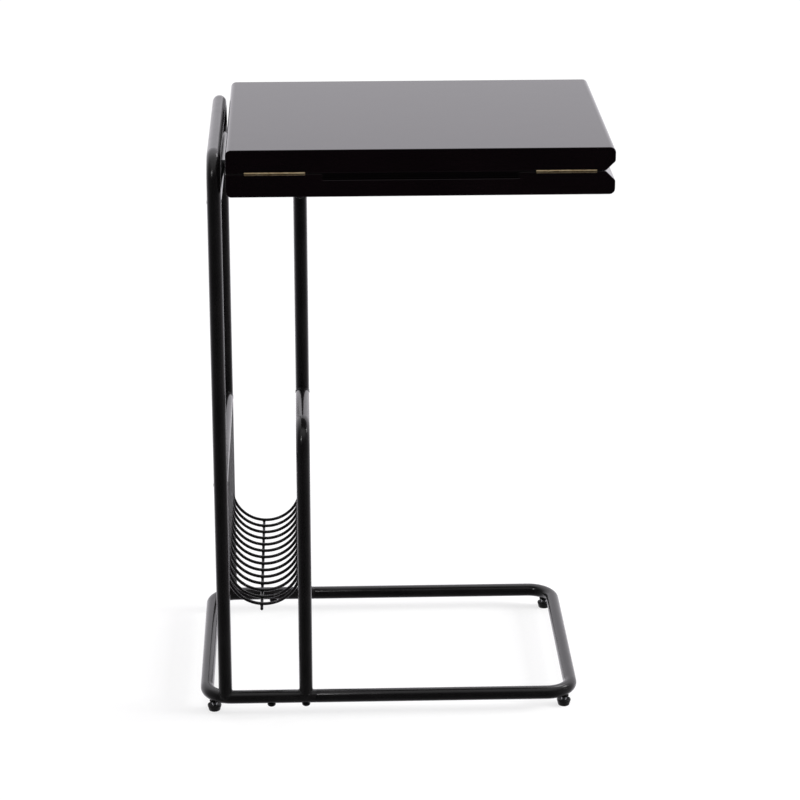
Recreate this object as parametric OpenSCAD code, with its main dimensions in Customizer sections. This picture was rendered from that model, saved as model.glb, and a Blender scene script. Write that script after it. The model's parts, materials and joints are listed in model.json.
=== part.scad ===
// C-shaped side table: a fold-over top on a welded round-tube frame, with a wire magazine rack.
// Millimetres. +X points to the table's open end, +Y to its rear, +Z up.
// The origin is on the floor, at the centre of the bounding box.

/* [Top boards] */
// Height of the closed top above the floor
table_h = 648; // [620:1:680]
// Overall length of the table along X
overall_l = 447; // [435:1:470]
// Length of each board along X
board_l = 406; // [390:1:410]
// Depth of each board along Y
board_w = 305; // [300:1:320]
// Thickness of each board
board_t = 25; // [22:0.5:28]
// Gap between the two boards when the top is closed
seam_gap = 0.6; // [0.6:0.1:1]
// Size of the 45 degree finger chamfers on the right end
end_chamfer = 10; // [6:0.5:12]
// Radius of the end edges beside the top and bottom faces
end_round = 5; // [2:0.5:6]
// Length of the finger notch in the lower board's front edge
notch_l = 205; // [150:5:220]
// Height of the finger notch
notch_h = 7; // [5:0.5:8]
// Depth of the finger notch
notch_d = 6; // [5:0.5:8]

/* [Hinges] */
// Length of each butt hinge
hinge_l = 63.5; // [50:0.5:70]
// Distance from a board's end to its hinge
hinge_inset = 19.5; // [15:0.5:30]
// Number of knuckles on each hinge
knuckles = 5; // [3:2:7]
// Diameter of the hinge barrel
barrel_d = 3.8; // [3.4:0.1:4]
// Diameter of the hinge pin
pin_d = 2; // [1.6:0.1:2.2]
// Thickness of each hinge leaf
leaf_t = 1; // [0.8:0.1:1.1]
// Width of each hinge leaf, from the pin
leaf_w = 18; // [15:0.5:22]
// How far the hinge axis stands in front of the boards' front faces
axis_out = 0.2; // [0.2:0.05:0.4]

/* [Tube frame] */
// Outer diameter of the frame tube
tube_d = 15; // [14:0.5:16]
// Wall of the frame tube
tube_wall = 1.2; // [1:0.1:1.5]
// Bend radius on the tube's centre line
bend_r = 28; // [24:1:32]
// Distance between the front and rear tubes, centre to centre
frame_w = 284; // [280:1:286]
// Distance between the base's side bars, centre to centre
base_l = 407.5; // [400:0.5:410]
// Distance from the left base bar to the tall hoop
tall_inset = 21; // [20:0.5:24]
// Distance between the two hoops
hoop_gap = 89.5; // [86:0.5:92]
// How far the tall hoop's top stays below the closed top
hoop_drop = 6.7; // [5:0.1:9]
// Height of the rack bar on the tall hoop, to its centre
rack_bar_z = 272.5; // [262:0.5:282]
// Height of the low hoop's bar, to its centre
low_bar_z = 334.4; // [325:0.1:345]
// Distance of the post in front of the low hoop's middle
post_fwd = 20; // [0:1:40]
// Distance from the low hoop to the free end of the long rail
rail_reach = 222; // [180:1:260]
// Distance from the centre to the free end of each arm
arm_reach = 103; // [90:1:115]

/* [Rack] */
// Number of rack wires
wires = 14; // [10:1:15]
// Distance from wire to wire
wire_pitch = 18.8; // [16:0.1:18.8]
// Diameter of the rack wires
wire_d = 3.5; // [3:0.1:4]
// Radius of the rack's rounded bottom, to the wire's centre
rack_r = 40; // [38:0.5:42]
// Height of the lowest wire's centre
rack_z = 123; // [115:1:130]

/* [Feet and fasteners] */
// Height of a foot pad
pad_h = 7; // [6:0.5:9]
// Diameter of a foot pad at its top
pad_top_d = 15.5; // [13:0.5:16]
// Diameter of a foot pad on the floor
pad_low_d = 12.5; // [10:0.5:13]
// Thread that shows between a pad and the tube
foot_gap = 4.4; // [4.4:0.1:6]
// Diameter of the foot's stud
stud_d = 6; // [5:1:6]
// Diameter of the base bolts' heads
bolt_head_d = 9.4; // [9:0.1:10]
// Height of the base bolts' heads
bolt_head_h = 3.9; // [3:0.1:4]

/* [Hidden] */
$fn = 64;

black_steel = "#1d1d20";
black_board = "#151517";
black_plastic = "#222225";
zinc = "#b8bcc0";
brass = "#c8a24c";

eps = 0.5;                         // how far a cutter runs past a face
tube_r = tube_d / 2;
bore_r = tube_r - tube_wall;

// The hinge barrels stand in front of the boards, so the rest is set back by half of that.
mid_y = (axis_out + barrel_d / 2) / 2;
front_y = mid_y - board_w / 2;

// Places along X
left_x = -overall_l / 2 + tube_r;
right_x = left_x + base_l;
tall_x = left_x + tall_inset;
low_x = tall_x + hoop_gap;
board_x1 = overall_l / 2;
board_x0 = board_x1 - board_l;
board_cx = (board_x0 + board_x1) / 2;
rail_end_x = low_x + rail_reach;
rack_cx = (tall_x + low_x) / 2;

// Heights
base_z = pad_h + foot_gap + tube_r;
seam_z = table_h - board_t - seam_gap / 2;
lower_z0 = table_h - 2 * board_t - seam_gap;
rail_z = lower_z0 - tube_r;
hoop_top_z = table_h - hoop_drop - tube_r;

// The base is two U pieces, joined by plugs just right of the low hoop
joint_gap = 11.5;                  // from the low hoop to the seam
joint_x = low_x + joint_gap;
plug_l = 60;
plug_fit = 0.1;
plug_r = bore_r - plug_fit;
plug_bore_r = plug_r - tube_wall;
neck_l = 8;
base_bolt_pitch = 38.5;
base_bolt_xs = [low_x - base_bolt_pitch, low_x];
base_bolt_r = 2.5;
bolt_hole_r = base_bolt_r + 0.25;
bolt_l = 12;
socket_r = 1.7;
socket_depth = 2;
bolt_nut_r = 3.8;
head_flat_r = 2.5;                 // flat face around the hex socket
head_rim_h = 1.6;                  // height from the flat face to the head's straight side
dome_z = (pow(head_rim_h, 2) + pow(bolt_head_d / 2, 2) - pow(head_flat_r, 2)) / (2 * head_rim_h);
dome_r = norm([dome_z, head_flat_r]);

// Feet stand under the middle of the four bends
foot_in = bend_r * (1 - cos(45));
foot_xs = [left_x + foot_in, right_x - foot_in];
foot_ys = [mid_y - frame_w / 2 + foot_in, mid_y + frame_w / 2 - foot_in];
stud_r = stud_d / 2;
stud_z0 = 2.5;
stud_tip = 1;
stud_over = 2.6;                   // how far a stud reaches past the tube's middle
stud_z1 = base_z + stud_over;
nut_r = 4.4;
nut_flange_r = 5.5;
nut_flange_t = 1;
nut_over = 0.5;                    // how far a nut reaches past the tube's middle
nut_z1 = base_z + nut_over;
thread_clear = 0.05;
pad_rim = 1;

// Rails and their screws
cap_t = 2;
cap_taper = 0.6;
cap_plug_l = 8;
screw_end_gap = 25;                // from a free end to the nearest screw
rail_screws = 3;
rail_screw_pitch = (rail_end_x - screw_end_gap - rack_cx) / (rail_screws - 1);
arm_screw_dy = arm_reach - screw_end_gap;
screw_r = 2;
screw_hole_r = 2.3;
screw_bite = 15;
screw_tip = 2;
screw_tip_r = 0.3;
screw_head_r = 4;
screw_head_h = 2.6;
screw_head_taper = 1;

// Rack
rack_cz = rack_z + rack_r;
wire_r = wire_d / 2;
spine_dx = -3;
spine_clear = 0.02;
spine_touch = rack_r + wire_d + spine_clear;
spine_dz = -sqrt(spine_touch * spine_touch - spine_dx * spine_dx);
spine_over = 7;
wire_y0 = mid_y - (wires - 1) * wire_pitch / 2;

// Hinges
axis_y = front_y - axis_out;
leaf_gap = 0.15;                   // from the seam's middle to each hinge leaf
hinge_xs = [board_x0 + hinge_inset, board_x1 - hinge_inset - hinge_l];
knuckle_l = hinge_l / knuckles;
knuckle_clear = 0.1;
barrel_r = barrel_d / 2;
barrel_clear = 0.35;
barrel_end_clear = 0.4;
mortise_clear = 0.2;
pin_r = pin_d / 2;
fixed_bore_r = pin_r + 0.02;
moving_bore_r = pin_r + 0.05;
hinge_screws = 3;
hinge_screw_pitch = 22;
hinge_screw_dy = 11;
hinge_screw_r = 1.5;
hinge_head_r = 2.9;
hinge_screw_l = 12;

// ---------- shapes that repeat ----------

// Solid round bar bent to a U: the crown lies along Y at Z = 0, the legs run down.
module u_bar(leg, r) {
    straight = frame_w / 2 - bend_r;
    for (side = [0, 1]) mirror([0, side, 0]) {
        translate([0, frame_w / 2, -leg]) cylinder(r = r, h = leg - bend_r);
        translate([0, straight, -bend_r]) rotate([90, 0, 90])
            rotate_extrude(angle = 90) translate([bend_r, 0]) circle(r = r);
        rotate([-90, 0, 0]) cylinder(r = r, h = straight);
    }
}

// Solid round bar along +X, +Y or +Z.
module bar_x(l, r) { rotate([0, 90, 0]) cylinder(r = r, h = l); }
module bar_y(l, r) { rotate([-90, 0, 0]) cylinder(r = r, h = l); }

// Outer forms of the frame's tubes, also used to cope the tubes that meet them.
module base_left_form(r) {
    translate([left_x, mid_y, base_z]) rotate([0, -90, 0]) u_bar(joint_x - left_x, r);
}
module base_right_form(r) {
    translate([right_x, mid_y, base_z]) rotate([0, 90, 0]) u_bar(right_x - joint_x, r);
}
module tall_hoop_form(r, down = 0) {
    translate([tall_x, mid_y, hoop_top_z]) u_bar(hoop_top_z - base_z + down, r);
}
module low_hoop_form(r, down = 0) {
    translate([low_x, mid_y, low_bar_z]) u_bar(low_bar_z - base_z + down, r);
}
module cross_form(z, r) {
    translate([tall_x, mid_y - frame_w / 2, z]) bar_y(frame_w, r);
}
module long_rail_form(r) {
    translate([tall_x, mid_y, rail_z]) bar_x(rail_end_x - tall_x, r);
}
// side = -1 points to the front and side = 1 to the rear; more runs past the free end.
module arm_form(side, r, more = 0) {
    translate([low_x, mid_y, rail_z]) rotate([side * -90, 0, 0]) cylinder(r = r, h = arm_reach + more);
}

// Upright cutters at the four feet, and at the four base bolts.
module at_feet() {
    for (x = foot_xs, y = foot_ys) translate([x, y, 0]) children();
}
module at_base_bolts() {
    for (x = base_bolt_xs, side = [-1, 1]) {
        translate([x, mid_y + side * frame_w / 2, base_z - tube_r]) children();
    }
}

// Places of the screws that hold the lower board, on the rails' underside.
module at_board_screws() {
    for (i = [0 : rail_screws - 1]) {
        translate([rack_cx + i * rail_screw_pitch, mid_y, rail_z - tube_r]) children();
    }
    for (side = [-1, 1]) translate([low_x, mid_y + side * arm_screw_dy, rail_z - tube_r]) children();
}
module board_screw_holes(r) {
    at_board_screws() translate([0, 0, -eps]) cylinder(r = r, h = tube_d + 2 * eps);
}

// Places of one hinge's screws, on the seam's middle plane.
module at_hinge_screws(x) {
    for (i = [0 : hinge_screws - 1]) {
        along = hinge_l / 2 + (i - (hinge_screws - 1) / 2) * hinge_screw_pitch;
        translate([x + along, axis_y + hinge_screw_dy, seam_z]) children();
    }
}

// Mirrors a lower half of the seam to the upper half.
module to_upper() {
    translate([0, 0, 2 * seam_z]) mirror([0, 0, 1]) children();
}

// ---------- frame ----------

module base_left_tube() {
    color(black_steel) difference() {
        base_left_form(tube_r);
        base_left_form(bore_r);
        translate([joint_x - eps, mid_y - frame_w / 2, base_z]) bar_x(2 * eps, bore_r);
        translate([joint_x - eps, mid_y + frame_w / 2, base_z]) bar_x(2 * eps, bore_r);
        at_base_bolts() translate([0, 0, -eps]) cylinder(r = bolt_hole_r, h = tube_r);
        at_feet() cylinder(r = nut_r, h = base_z);
    }
}

module base_right_tube() {
    color(black_steel) difference() {
        union() {
            base_right_form(tube_r);
            for (side = [-1, 1]) translate([joint_x - plug_l, mid_y + side * frame_w / 2, base_z])
                bar_x(plug_l, plug_r);
        }
        translate([right_x, mid_y, base_z]) rotate([0, 90, 0]) u_bar(right_x - joint_x - neck_l, bore_r);
        for (side = [-1, 1]) translate([0, mid_y + side * frame_w / 2, base_z]) {
            translate([joint_x, 0, 0]) rotate([0, 90, 0]) cylinder(r1 = plug_bore_r, r2 = bore_r, h = neck_l);
            translate([joint_x - plug_l - eps, 0, 0]) bar_x(plug_l + eps, plug_bore_r);
        }
        at_base_bolts() translate([0, 0, -eps]) cylinder(r = bolt_hole_r, h = tube_r);
        at_feet() cylinder(r = nut_r, h = base_z);
    }
}

// Button-head screws from below, with a hex socket.
module base_bolts() {
    color(black_steel) at_base_bolts() difference() {
        union() {
            translate([0, 0, -bolt_head_h]) intersection() {
                cylinder(d = bolt_head_d, h = bolt_head_h);
                translate([0, 0, dome_z]) sphere(r = dome_r);
            }
            cylinder(r = base_bolt_r, h = bolt_l - bolt_head_h);
        }
        translate([0, 0, -bolt_head_h - eps]) cylinder(r = socket_r, h = socket_depth + eps, $fn = 6);
    }
}

// Nuts welded to the inner wall of the plugs.
module base_bolt_nuts() {
    color(zinc) difference() {
        intersection() {
            at_base_bolts() cylinder(r = bolt_nut_r, h = tube_r);
            for (side = [-1, 1]) translate([joint_x - plug_l, mid_y + side * frame_w / 2, base_z])
                bar_x(plug_l, plug_bore_r);
        }
        at_base_bolts() cylinder(r = base_bolt_r + thread_clear, h = tube_d);
    }
}

module tall_hoop() {
    color(black_steel) difference() {
        tall_hoop_form(tube_r);
        tall_hoop_form(bore_r, eps);
        base_left_form(tube_r);
    }
}

module low_hoop() {
    color(black_steel) difference() {
        low_hoop_form(tube_r);
        low_hoop_form(bore_r, eps);
        base_left_form(tube_r);
    }
}

module crossbar(z) {
    color(black_steel) difference() {
        cross_form(z, tube_r);
        cross_form(z, bore_r);
        tall_hoop_form(tube_r);
    }
}
module rack_bar() { crossbar(rack_bar_z); }
module top_crossbar() { crossbar(rail_z); }

module post() {
    color(black_steel) difference() {
        translate([low_x, mid_y - post_fwd, low_bar_z]) cylinder(r = tube_r, h = rail_z - low_bar_z);
        translate([low_x, mid_y - post_fwd, low_bar_z]) cylinder(r = bore_r, h = rail_z - low_bar_z);
        low_hoop_form(tube_r);
        long_rail_form(tube_r);
        arm_form(-1, tube_r);
    }
}

module long_rail() {
    color(black_steel) difference() {
        long_rail_form(tube_r);
        long_rail_form(bore_r);
        translate([rail_end_x - eps, mid_y, rail_z]) bar_x(2 * eps, bore_r);
        cross_form(rail_z, tube_r);
        board_screw_holes(screw_hole_r);
    }
}

// One arm runs from the long rail towards the front or the rear.
module arm(side) {
    color(black_steel) difference() {
        arm_form(side, tube_r);
        arm_form(side, bore_r, eps);
        long_rail_form(tube_r);
        board_screw_holes(screw_hole_r);
    }
}
module arm_front() { arm(-1); }
module arm_rear() { arm(1); }

// A cap: a round head flush with the tube and a plug inside it. Its head points to +Z.
module end_cap() {
    cylinder(r1 = tube_r, r2 = tube_r - cap_taper, h = cap_t);
    translate([0, 0, -cap_plug_l]) cylinder(r = bore_r, h = cap_plug_l);
}
module rail_end_caps() {
    color(black_plastic) {
        translate([low_x, mid_y - arm_reach, rail_z]) rotate([90, 0, 0]) end_cap();
        translate([low_x, mid_y + arm_reach, rail_z]) rotate([-90, 0, 0]) end_cap();
        translate([rail_end_x, mid_y, rail_z]) rotate([0, 90, 0]) end_cap();
    }
}

// ---------- rack ----------

// One U-shaped wire, welded under the rack bar and under the low hoop's bar.
module rack_wire() {
    rotate([-90, 0, 0]) rotate_extrude(angle = 180) translate([rack_r, 0]) circle(r = wire_r);
    translate([-rack_r, 0, 0]) cylinder(r = wire_r, h = rack_bar_z - rack_cz);
    translate([rack_r, 0, 0]) cylinder(r = wire_r, h = low_bar_z - rack_cz);
}
module rack_wires() {
    color(black_steel) difference() {
        for (i = [0 : wires - 1]) translate([rack_cx, wire_y0 + i * wire_pitch, rack_cz]) rack_wire();
        cross_form(rack_bar_z, tube_r);
        low_hoop_form(tube_r);
    }
}

module rack_spine() {
    color(black_steel) translate([rack_cx + spine_dx, wire_y0 - spine_over, rack_cz + spine_dz])
        bar_y((wires - 1) * wire_pitch + 2 * spine_over, wire_r);
}

// ---------- feet ----------

// Rivet nuts set in the underside of the base tube's bends.
module foot_nuts() {
    color(zinc) at_feet() difference() {
        union() {
            translate([0, 0, base_z - tube_r - nut_flange_t]) cylinder(r = nut_flange_r, h = nut_flange_t);
            translate([0, 0, base_z - tube_r]) cylinder(r = nut_r, h = nut_z1 - base_z + tube_r);
        }
        translate([0, 0, base_z - tube_r - nut_flange_t - eps])
            cylinder(r = stud_r + thread_clear, h = tube_d);
    }
}

module foot_pad(x, y) {
    color(black_plastic) translate([x, y, 0]) difference() {
        union() {
            cylinder(d1 = pad_low_d, d2 = pad_top_d, h = pad_h - pad_rim);
            translate([0, 0, pad_h - pad_rim])
                cylinder(d1 = pad_top_d, d2 = pad_top_d - 2 * pad_rim, h = pad_rim);
        }
        translate([0, 0, stud_z0]) cylinder(r = stud_r, h = pad_h);
    }
}
module foot_pad_fl() { foot_pad(foot_xs[0], foot_ys[0]); }
module foot_pad_fr() { foot_pad(foot_xs[1], foot_ys[0]); }
module foot_pad_bl() { foot_pad(foot_xs[0], foot_ys[1]); }
module foot_pad_br() { foot_pad(foot_xs[1], foot_ys[1]); }

module foot_stud(x, y) {
    color(zinc) translate([x, y, stud_z0]) {
        cylinder(r = stud_r, h = stud_z1 - stud_z0 - stud_tip);
        translate([0, 0, stud_z1 - stud_z0 - stud_tip])
            cylinder(r1 = stud_r, r2 = stud_r - stud_tip, h = stud_tip);
    }
}
module foot_stud_fl() { foot_stud(foot_xs[0], foot_ys[0]); }
module foot_stud_fr() { foot_stud(foot_xs[1], foot_ys[0]); }
module foot_stud_bl() { foot_stud(foot_xs[0], foot_ys[1]); }
module foot_stud_br() { foot_stud(foot_xs[1], foot_ys[1]); }

// ---------- top ----------

// Square with one rounded corner taken away, to round the corner at the origin.
module corner_cut(r) {
    difference() {
        translate([-eps, -eps]) square(r + eps);
        translate([r, r]) circle(r = r);
    }
}

// A board's end view: rounded at the outer face, chamfered at the seam on the right end.
module board_outline() {
    difference() {
        square([board_l, board_t]);
        corner_cut(end_round);
        translate([board_l, 0]) mirror([1, 0]) corner_cut(end_round);
        translate([board_l, board_t]) polygon([[eps, eps], [-end_chamfer - eps, eps],
            [-end_chamfer, 0], [0, -end_chamfer], [eps, -end_chamfer - eps]]);
    }
}

// The lower board without its notch; the upper board is its mirror image across the seam.
module board_blank() {
    difference() {
        translate([board_x0, front_y + board_w, lower_z0]) rotate([90, 0, 0])
            linear_extrude(board_w) board_outline();
        for (x = hinge_xs) {
            translate([x - mortise_clear, front_y - eps, seam_z - leaf_gap - leaf_t])
                cube([hinge_l + 2 * mortise_clear, leaf_w - axis_out + mortise_clear + eps, board_t]);
            translate([x - barrel_end_clear, axis_y, seam_z])
                bar_x(hinge_l + 2 * barrel_end_clear, barrel_r + barrel_clear);
            at_hinge_screws(x) translate([0, 0, -hinge_screw_l])
                cylinder(r = hinge_screw_r, h = hinge_screw_l);
        }
    }
}

module lower_board() {
    color(black_board) difference() {
        board_blank();
        translate([board_cx - notch_l / 2, front_y - eps, seam_z - seam_gap / 2 - notch_h])
            cube([notch_l, notch_d + eps, notch_h + eps]);
        at_board_screws() cylinder(r = screw_r, h = tube_d + screw_bite);
    }
}

module upper_board() {
    color(black_board) to_upper() board_blank();
}

// Pan-head screws up through the rails into the lower board.
module board_screws() {
    color(zinc) at_board_screws() {
        translate([0, 0, -screw_head_h])
            cylinder(r1 = screw_head_r - screw_head_taper, r2 = screw_head_r, h = screw_head_h);
        cylinder(r = screw_r, h = tube_d + screw_bite - screw_tip);
        translate([0, 0, tube_d + screw_bite - screw_tip])
            cylinder(r1 = screw_r, r2 = screw_tip_r, h = screw_tip);
    }
}

// ---------- hinges ----------

// The lower leaf of a hinge at x, with the knuckles from first on, two by two.
module hinge_leaf(x, first, bore) {
    color(brass) difference() {
        union() {
            difference() {
                translate([x, axis_y, seam_z - leaf_gap - leaf_t]) cube([hinge_l, leaf_w, leaf_t]);
                for (i = [1 - first : 2 : knuckles - 1]) translate([x + i * knuckle_l - knuckle_clear,
                    axis_y - barrel_r, seam_z - barrel_d])
                    cube([knuckle_l + 2 * knuckle_clear, barrel_d + barrel_clear, 2 * barrel_d]);
            }
            for (i = [first : 2 : knuckles - 1]) {
                translate([x + i * knuckle_l + knuckle_clear, axis_y, seam_z])
                    bar_x(knuckle_l - 2 * knuckle_clear, barrel_r);
            }
        }
        translate([x - eps, axis_y, seam_z]) bar_x(hinge_l + 2 * eps, bore);
        at_hinge_screws(x) translate([0, 0, -leaf_gap - leaf_t])
            cylinder(r1 = hinge_head_r - leaf_t, r2 = hinge_head_r, h = leaf_t);
    }
}
module hinge_left_fixed_leaf() { hinge_leaf(hinge_xs[0], 0, fixed_bore_r); }
module hinge_right_fixed_leaf() { hinge_leaf(hinge_xs[1], 0, fixed_bore_r); }
module hinge_left_moving_leaf() { to_upper() hinge_leaf(hinge_xs[0], 1, moving_bore_r); }
module hinge_right_moving_leaf() { to_upper() hinge_leaf(hinge_xs[1], 1, moving_bore_r); }

module hinge_pin(x) {
    color(brass) translate([x, axis_y, seam_z]) bar_x(hinge_l, pin_r);
}
module hinge_left_pin() { hinge_pin(hinge_xs[0]); }
module hinge_right_pin() { hinge_pin(hinge_xs[1]); }

// Countersunk screws, flush with the fixed leaves.
module hinge_screws_fixed() {
    color(brass) for (x = hinge_xs) at_hinge_screws(x) translate([0, 0, -leaf_gap - leaf_t]) {
        cylinder(r1 = hinge_head_r - leaf_t, r2 = hinge_head_r, h = leaf_t);
        translate([0, 0, leaf_gap + leaf_t - hinge_screw_l])
            cylinder(r = hinge_screw_r, h = hinge_screw_l - leaf_gap - leaf_t);
    }
}
module hinge_screws_moving() { to_upper() hinge_screws_fixed(); }

base_left_tube();
base_right_tube();
base_bolts();
base_bolt_nuts();
tall_hoop();
rack_bar();
low_hoop();
post();
top_crossbar();
long_rail();
arm_front();
arm_rear();
rail_end_caps();
rack_wires();
rack_spine();
foot_nuts();
foot_pad_fl();
foot_pad_fr();
foot_pad_bl();
foot_pad_br();
foot_stud_fl();
foot_stud_fr();
foot_stud_bl();
foot_stud_br();
lower_board();
upper_board();
board_screws();
hinge_left_fixed_leaf();
hinge_right_fixed_leaf();
hinge_left_moving_leaf();
hinge_right_moving_leaf();
hinge_left_pin();
hinge_right_pin();
hinge_screws_fixed();
hinge_screws_moving();
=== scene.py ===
"""A black C-shaped side table with a fold-over top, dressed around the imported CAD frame."""

import json
import math

import bmesh
import bpy
from mathutils import Matrix, Vector, noise

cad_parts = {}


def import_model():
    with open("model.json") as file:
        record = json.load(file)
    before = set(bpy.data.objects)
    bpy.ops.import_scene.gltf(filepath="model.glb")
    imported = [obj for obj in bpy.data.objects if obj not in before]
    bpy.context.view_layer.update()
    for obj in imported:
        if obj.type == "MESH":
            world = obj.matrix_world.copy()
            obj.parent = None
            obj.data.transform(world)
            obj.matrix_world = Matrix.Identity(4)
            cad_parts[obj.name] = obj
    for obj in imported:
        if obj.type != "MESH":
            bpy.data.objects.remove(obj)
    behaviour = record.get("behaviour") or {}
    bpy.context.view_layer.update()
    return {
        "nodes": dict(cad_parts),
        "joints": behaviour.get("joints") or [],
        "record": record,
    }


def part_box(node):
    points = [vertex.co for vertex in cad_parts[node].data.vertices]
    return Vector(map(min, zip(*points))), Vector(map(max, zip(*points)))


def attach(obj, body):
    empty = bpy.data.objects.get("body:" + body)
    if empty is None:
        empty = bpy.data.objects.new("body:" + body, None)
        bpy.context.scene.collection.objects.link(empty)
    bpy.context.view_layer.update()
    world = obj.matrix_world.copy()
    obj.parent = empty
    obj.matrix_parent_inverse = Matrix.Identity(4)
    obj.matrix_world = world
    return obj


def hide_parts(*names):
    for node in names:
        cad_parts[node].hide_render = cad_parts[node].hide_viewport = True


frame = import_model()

MM = 0.001
FEET = ("fl", "fr", "bl", "br")

# ---------------------------------------------------------------- places and sizes


def middle(node):
    """The centre of a CAD node's box."""
    low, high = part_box(node)
    return (low + high) / 2


def joint(name):
    """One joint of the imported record."""
    return next(j for j in frame["joints"] if j["name"] == name)


POST_LOW, POST_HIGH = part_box("post")
TUBE_R = (POST_HIGH.x - POST_LOW.x) / 2
MID_Y = middle("tall_hoop").y
BAR_Y = (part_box("rack_bar")[1].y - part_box("rack_bar")[0].y) / 2
BASE_Z = middle("base_left_tube").z
TALL_X = middle("tall_hoop").x
LOW_X = middle("low_hoop").x
RAIL_Z = middle("long_rail").z
LOW_BAR_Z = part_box("low_hoop")[1].z - TUBE_R
HINGE_AXIS = Vector(joint("leaf_flip")["pos_m"])
WIRE_R = (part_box("rack_spine")[1].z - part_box("rack_spine")[0].z) / 2
WIRES = 14
KNUCKLES = 5
KNUCKLE_GAP = 0.1 * MM
SCREW_PITCH = 22 * MM
SCREW_SET_BACK = 11 * MM
SCREW_END_GAP = 25 * MM
ALONG_X = Matrix.Rotation(math.pi / 2, 4, "Y")
ALONG_Y = Matrix.Rotation(-math.pi / 2, 4, "X")
BEND_R = 28 * MM
WALL = 1.2 * MM
JOINT_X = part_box("base_left_tube")[1].x
SIDE_BARS = (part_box("base_left_tube")[0].x + TUBE_R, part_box("base_right_tube")[1].x - TUBE_R)

# ---------------------------------------------------------------- mesh helpers


def new_object(name, bm, smooth=True):
    """A Blender object from a bmesh, with its normals turned outwards."""
    bmesh.ops.recalc_face_normals(bm, faces=bm.faces)
    mesh = bpy.data.meshes.new(name)
    bm.to_mesh(mesh)
    bm.free()
    for polygon in mesh.polygons:
        polygon.use_smooth = smooth
    obj = bpy.data.objects.new(name, mesh)
    bpy.context.scene.collection.objects.link(obj)
    return obj


def apply_modifiers(obj):
    """Bakes an object's modifiers into its mesh."""
    graph = bpy.context.evaluated_depsgraph_get()
    mesh = bpy.data.meshes.new_from_object(obj.evaluated_get(graph))
    obj.modifiers.clear()
    obj.data = mesh
    return obj


def smooth_by_angle(obj, degrees):
    """Smooth faces, with the edges sharper than this angle kept hard."""
    mesh = obj.data
    bm = bmesh.new()
    bm.from_mesh(mesh)
    for face in bm.faces:
        face.smooth = True
    for edge in bm.edges:
        edge.smooth = len(edge.link_faces) == 2 and edge.calc_face_angle(0) < math.radians(degrees)
    bm.to_mesh(mesh)
    bm.free()
    return obj


def ring_faces(bm, rings, close_rings=False):
    """Quads between rings of vertices; each ring is closed, and the last can join the first."""
    pairs = list(zip(rings, rings[1:]))
    if close_rings:
        pairs.append((rings[-1], rings[0]))
    for a, b in pairs:
        for i in range(len(a)):
            j = (i + 1) % len(a)
            bm.faces.new((a[i], a[j], b[j], b[i]))


def lathe(bm, profile, place, sides=48, wobble=None):
    """A closed solid of revolution. profile runs from axis to axis as (radius, height) pairs."""
    rings = []
    for r, z in profile[1:-1]:
        ring = []
        for i in range(sides):
            a = 2 * math.pi * i / sides
            rr = r if wobble is None else r + wobble(r, z, a)
            ring.append(bm.verts.new(place @ Vector((rr * math.cos(a), rr * math.sin(a), z))))
        rings.append(ring)
    ring_faces(bm, rings)
    for pole, ring in ((profile[0], rings[0]), (profile[-1], rings[-1])):
        centre = bm.verts.new(place @ Vector((0, 0, pole[1])))
        for i in range(sides):
            bm.faces.new((centre, ring[i], ring[(i + 1) % sides]))


def round_ring(bm, centre, side, other, radius, sides):
    """A ring of vertices round a point, in the plane of two directions."""
    ring = []
    for i in range(sides):
        a = 2 * math.pi * i / sides
        ring.append(bm.verts.new(centre + (side * math.cos(a) + other * math.sin(a)) * radius))
    return ring


def tube_along(bm, points, radius, sides=10, closed=False):
    """A round bead along points. radius is a number or a function of the point's index."""
    n = len(points)
    rings = []
    side = None
    for k, p in enumerate(points):
        before = points[k - 1] if closed or k else p
        after = points[(k + 1) % n] if closed or k < n - 1 else p
        along = (after - before).normalized()
        if side is None:
            side = along.orthogonal().normalized()
        side = (side - along * side.dot(along)).normalized()
        other = along.cross(side)
        r = radius(k) if callable(radius) else radius
        rings.append(round_ring(bm, p, side, other, r, sides))
    ring_faces(bm, rings, close_rings=closed)
    if not closed:
        bm.faces.new(rings[0])
        bm.faces.new(rings[-1])


def arc_corner(corner, before, after, r, steps):
    """The points of an arc of radius r that rounds the corner of a polygon."""
    a = (before - corner).normalized()
    b = (after - corner).normalized()
    half = a.angle(b) / 2
    reach = r / math.tan(half)
    centre = corner + (a + b).normalized() * (r / math.sin(half))
    start = corner + a * reach - centre
    end = corner + b * reach - centre
    turn = start.angle_signed(end)
    points = []
    for i in range(steps + 1):
        c, s = math.cos(-turn * i / steps), math.sin(-turn * i / steps)
        points.append(centre + Vector((c * start.x - s * start.y, s * start.x + c * start.y)))
    return points


def pipe(bm, points, outer, inner, sides=40):
    """A hollow pipe along points, with an outer and an inner radius for each point."""
    walls = []
    for radii in (outer, inner):
        rings = []
        side = None
        for k, p in enumerate(points):
            along = (points[min(k + 1, len(points) - 1)] - points[max(k - 1, 0)]).normalized()
            side = along.orthogonal() if side is None else side
            side = (side - along * side.dot(along)).normalized()
            other = along.cross(side)
            rings.append(round_ring(bm, p, side, other, radii[k], sides))
        ring_faces(bm, rings)
        walls.append(rings)
    for end in (0, -1):
        ring_faces(bm, [walls[0][end], walls[1][end]])


def box_mesh(bm, low, high):
    """Adds a box between two corners."""
    made = bmesh.ops.create_cube(bm, size=1)
    size, centre = high - low, (low + high) / 2
    for v in made["verts"]:
        v.co = Vector(v.co[i] * size[i] + centre[i] for i in range(3))


def cut(obj, cutter_bm):
    """Takes the cutter's volume out of an object."""
    cutter = new_object("cutter", cutter_bm, smooth=False)
    modifier = obj.modifiers.new("cut", "BOOLEAN")
    modifier.object = cutter
    modifier.operation = "DIFFERENCE"
    modifier.solver = "EXACT"
    apply_modifiers(obj)
    bpy.data.objects.remove(cutter)


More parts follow.
